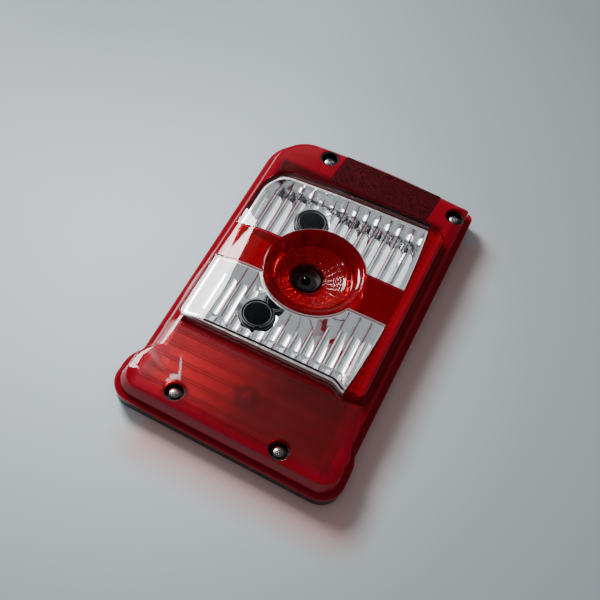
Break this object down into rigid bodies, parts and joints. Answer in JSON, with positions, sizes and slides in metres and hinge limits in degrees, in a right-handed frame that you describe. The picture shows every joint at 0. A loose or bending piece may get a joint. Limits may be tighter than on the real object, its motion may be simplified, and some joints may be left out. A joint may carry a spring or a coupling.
{
  "type": "tail light cluster",
  "caption": "Flat vehicle rear lamp with a red lens, a raised clear window, a red bullseye ring and band, fluted chrome reflectors and screws in deep wells.",
  "frame": {"origin": "middle of the lamp's outline, in the plane that the back gasket rests on", "axes": "+Z out of the lens, away from the vehicle; +Y along the lamp, to the end with the retro panel; +X to the right, seen from the lens side with +Y up"},
  "size_m": [0.2116, 0.3355, 0.0367],
  "materials": {
    "housing_black": "moulded, satin, slightly dusty",
    "foam_gasket": "closed-cell foam",
    "seal_rubber": "smooth rubber",
    "red_acrylic": "glossy translucent red",
    "clear_acrylic": "glossy clear plastic",
    "bullseye_red": "glossy translucent red, fluted",
    "retro_red": "fine grain of retro prisms",
    "chromed_plastic": "vacuum-metallised",
    "bulb_glass": "clear glass",
    "holder_plastic": "satin moulding",
    "cap_black": "glossy black",
    "contact_brass": "stamped strip",
    "socket_plastic": "satin moulding",
    "screw_steel": "zinc-plated",
    "sleeve_black": "dull"
  },
  "bodies": {
    "root": {"housing": "housing_black", "back_gasket": "foam_gasket", "lens_seal": "seal_rubber", "red_lens": "red_acrylic", "window_upper": "clear_acrylic", "window_lower": "clear_acrylic", "bullseye_optic": "bullseye_red", "retro_panel": "retro_red", "prism_strip": "bullseye_red", "reflector": "chromed_plastic", "tail_reflector": "chromed_plastic", "bulb_upper": "bulb_glass", "bulb_lower": "bulb_glass", "bulb_centre": "bulb_glass", "bulb_tail": "bulb_glass", "holder_upper": "holder_plastic", "holder_lower": "holder_plastic", "holder_centre": "holder_plastic", "holder_tail": "holder_plastic", "cap_upper": "cap_black", "cap_lower": "cap_black", "shade_tube": "sleeve_black", "holder_seals": "seal_rubber", "contact_strip_ground": "contact_brass", "contact_strip_feed": "contact_brass", "connector_socket": "socket_plastic", "connector_pins": "contact_brass", "lens_screws": "screw_steel", "screw_washers": "seal_rubber", "well_sleeves": "sleeve_black", "mounting_inserts": "contact_brass", "breather_vent": "seal_rubber"}
  },
  "joints": []
}
